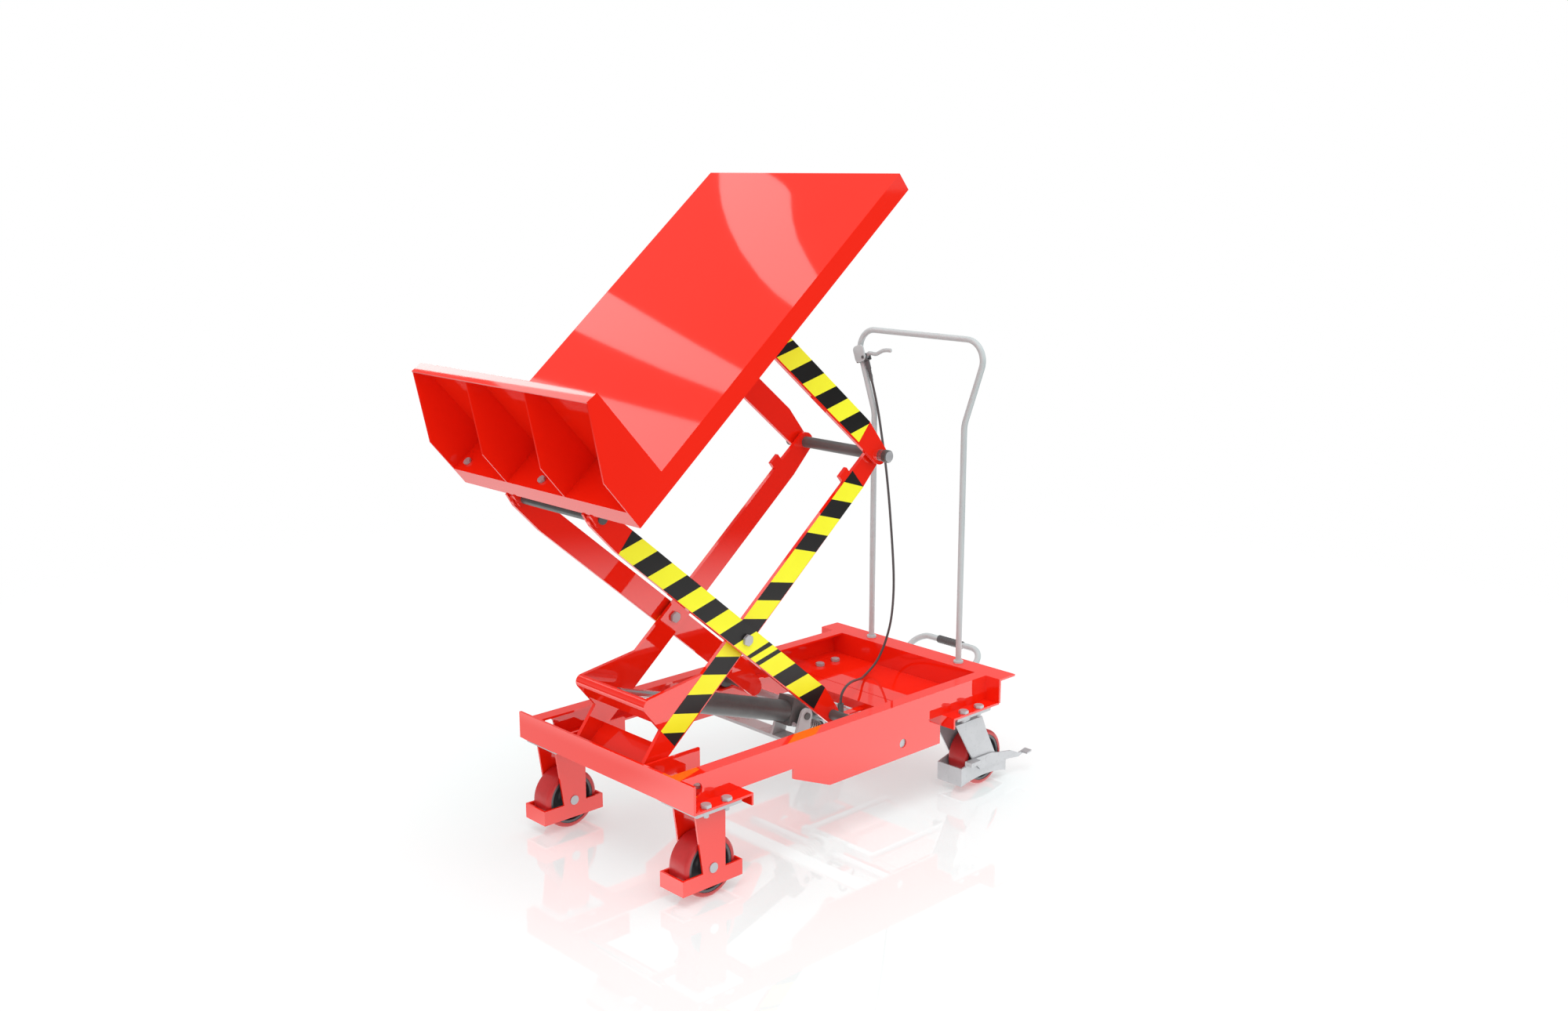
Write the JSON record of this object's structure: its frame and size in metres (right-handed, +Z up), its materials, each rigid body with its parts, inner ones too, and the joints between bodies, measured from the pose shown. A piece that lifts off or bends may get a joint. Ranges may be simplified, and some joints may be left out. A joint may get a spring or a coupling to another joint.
{
  "type": "scissor lift table",
  "caption": "Mobile scissor lift and tilt table on casters, raised and tilted, with a ledge, push handle, foot pump pedal and hand release lever.",
  "frame": {"origin": "on the floor, in the middle of the whole table's bounding box", "axes": "+X runs from the ledge to the push handle, +Z is up, +Y is the right side of someone pushing by the handle"},
  "size_m": [1.135, 0.5, 1.2016],
  "materials": {
    "red_frame": "gloss",
    "zinc": "satin",
    "dark_steel": "satin",
    "white_tube": "gloss",
    "black_plastic": "matte",
    "wheel": "satin"
  },
  "bodies": {
    "chassis": {"front_crossbar": "red_frame", "side_rails": "red_frame", "rear_crossmember": "red_frame", "pivot_plates": "red_frame", "side_plates": "red_frame", "caster_tabs": "red_frame", "rear_tray": "red_frame", "mid_plate": "red_frame", "fixed_forks": "red_frame", "caster_plates": "zinc", "caster_bolts": "zinc", "front_axles": "zinc", "handle": "white_tube", "lever_clamp": "white_tube", "cable_adjuster": "black_plastic", "lower_pivot_shaft": "dark_steel", "pump_bracket": "red_frame", "cylinder_pin": "dark_steel", "pedal_shaft": "zinc", "cable_anchor": "red_frame", "cable_fitting": "dark_steel", "release_cable": "black_plastic"},
    "inner_arms": {"inner_arm_plates": "red_frame", "crank_channel": "red_frame", "crank_pin": "dark_steel", "tie_plate": "red_frame", "elbow_shaft": "dark_steel", "elbow_sleeve": "dark_steel", "arm_spacers": "dark_steel", "centre_bolts": "zinc"},
    "outer_arms": {"outer_arm_plates": "red_frame", "roller_axles": "dark_steel"},
    "roller_left": {"roller_left": "dark_steel"},
    "roller_right": {"roller_right": "dark_steel"},
    "upper_arms": {"upper_arm_plates": "red_frame"},
    "table": {"deck_plate": "red_frame", "pocket_floor": "red_frame", "deck_skirts": "red_frame", "ledge_sheet": "red_frame", "ledge_gussets": "red_frame", "hinge_lugs": "red_frame", "hinge_shafts": "dark_steel", "pocket_bolts": "red_frame"},
    "cylinder": {"cylinder_barrel": "dark_steel", "pump_block": "dark_steel", "valve_screws": "zinc", "return_spring": "zinc"},
    "rod": {"piston_rod": "zinc"},
    "plunger": {"pump_plunger": "dark_steel"},
    "pedal": {"pedal_frame": "white_tube", "pedal_grip": "black_plastic"},
    "valve": {"valve_lever": "dark_steel"},
    "hand_lever": {"release_lever": "white_tube"},
    "swivel_left": {"swivel_fork_left": "zinc"},
    "swivel_right": {"swivel_fork_right": "zinc"},
    "brake_left": {"brake_pedal_left": "zinc"},
    "brake_right": {"brake_pedal_right": "zinc"},
    "front_left": {"front_wheel_left": "wheel"},
    "front_right": {"front_wheel_right": "wheel"},
    "rear_left": {"rear_wheel_left": "wheel"},
    "rear_right": {"rear_wheel_right": "wheel"}
  },
  "joints": [
    {"name": "lift", "type": "hinge", "parent": "chassis", "child": "inner_arms", "pos_m": [-0.35, 0, 0.1975], "axis": [0, 1, 0], "range_deg": [0, 35]},
    {"name": "outer_arm_fold", "type": "hinge", "parent": "inner_arms", "child": "outer_arms", "pos_m": [-0.13287, 0, 0.39145], "axis": [0, 1, 0], "range_deg": [-70, 0]},
    {"name": "upper_arm_fold", "type": "hinge", "parent": "inner_arms", "child": "upper_arms", "pos_m": [0.20839, 0, 0.68171], "axis": [0, 1, 0], "range_deg": [-70, 0]},
    {"name": "table_tilt", "type": "hinge", "parent": "outer_arms", "child": "table", "pos_m": [-0.45114, 0, 0.66243], "axis": [0, 1, 0], "range_deg": [0, 70]},
    {"name": "cylinder_swing", "type": "hinge", "parent": "chassis", "child": "cylinder", "pos_m": [0.093, 0, 0.1715], "axis": [0, 1, 0], "range_deg": [-1, 1]},
    {"name": "rod_slide", "type": "slide", "parent": "cylinder", "child": "rod", "axis": [-0.9506, 0, 0.3105], "range_m": [-0.0725, 0]},
    {"name": "roller_left_spin", "type": "hinge", "parent": "outer_arms", "child": "roller_left", "pos_m": [0.08427, -0.198, 0.1975], "axis": [0, 1, 0], "continuous": true},
    {"name": "roller_right_spin", "type": "hinge", "parent": "outer_arms", "child": "roller_right", "pos_m": [0.08427, 0.198, 0.1975], "axis": [0, 1, 0], "continuous": true},
    {"name": "foot_pedal", "type": "hinge", "parent": "chassis", "child": "pedal", "pos_m": [0.172, 0, 0.1445], "axis": [0, 1, 0], "range_deg": [0, 20], "stiffness_Nm_per_rad": 20, "springref_deg": -20.05},
    {"name": "plunger_slide", "type": "slide", "parent": "cylinder", "child": "plunger", "axis": [-0.9063, 0, 0.4226], "range_m": [0, 0.0092], "deforming": ["return_spring"]},
    {"name": "hand_lever_squeeze", "type": "hinge", "parent": "chassis", "child": "hand_lever", "pos_m": [0.44, 0.14678, 0.82637], "axis": [1, 0, 0], "range_deg": [-20, 0], "stiffness_Nm_per_rad": 0.5, "springref_deg": 11.46},
    {"name": "valve_lever_turn", "type": "hinge", "parent": "cylinder", "child": "valve", "pos_m": [0.125, -0.038, 0.1715], "axis": [0, 1, 0], "range_deg": [-9, 0]},
    {"name": "swivel_left_turn", "type": "hinge", "parent": "chassis", "child": "swivel_left", "pos_m": [0.345, -0.198, 0.1535], "axis": [0, 0, 1], "continuous": true},
    {"name": "brake_left_press", "type": "hinge", "parent": "swivel_left", "child": "brake_left", "pos_m": [0.405, -0.231, 0.056], "axis": [0, 1, 0], "range_deg": [0, 10]},
    {"name": "front_wheel_left_spin", "type": "hinge", "parent": "chassis", "child": "front_left", "pos_m": [-0.317, -0.198, 0.056], "axis": [0, 1, 0], "continuous": true},
    {"name": "rear_wheel_left_spin", "type": "hinge", "parent": "swivel_left", "child": "rear_left", "pos_m": [0.405, -0.198, 0.056], "axis": [0, 1, 0], "continuous": true},
    {"name": "swivel_right_turn", "type": "hinge", "parent": "chassis", "child": "swivel_right", "pos_m": [0.345, 0.198, 0.1535], "axis": [0, 0, 1], "continuous": true},
    {"name": "brake_right_press", "type": "hinge", "parent": "swivel_right", "child": "brake_right", "pos_m": [0.405, 0.231, 0.056], "axis": [0, 1, 0], "range_deg": [0, 10]},
    {"name": "front_wheel_right_spin", "type": "hinge", "parent": "chassis", "child": "front_right", "pos_m": [-0.317, 0.198, 0.056], "axis": [0, 1, 0], "continuous": true},
    {"name": "rear_wheel_right_spin", "type": "hinge", "parent": "swivel_right", "child": "rear_right", "pos_m": [0.405, 0.198, 0.056], "axis": [0, 1, 0], "continuous": true}
  ],
  "couplings": [
    {"joint": "outer_arm_fold", "follows": "lift", "ratio": -2},
    {"joint": "upper_arm_fold", "follows": "lift", "ratio": -2},
    {"joint": "table_tilt", "follows": "lift", "ratio": 2},
    {"joint": "cylinder_swing", "follows": "lift", "ratio": -0.013787},
    {"joint": "rod_slide", "follows": "lift", "m_per_rad": -0.11568},
    {"joint": "plunger_slide", "follows": "foot_pedal", "m_per_rad": 0.02475},
    {"joint": "valve_lever_turn", "follows": "hand_lever_squeeze", "ratio": 0.45}
  ]
}
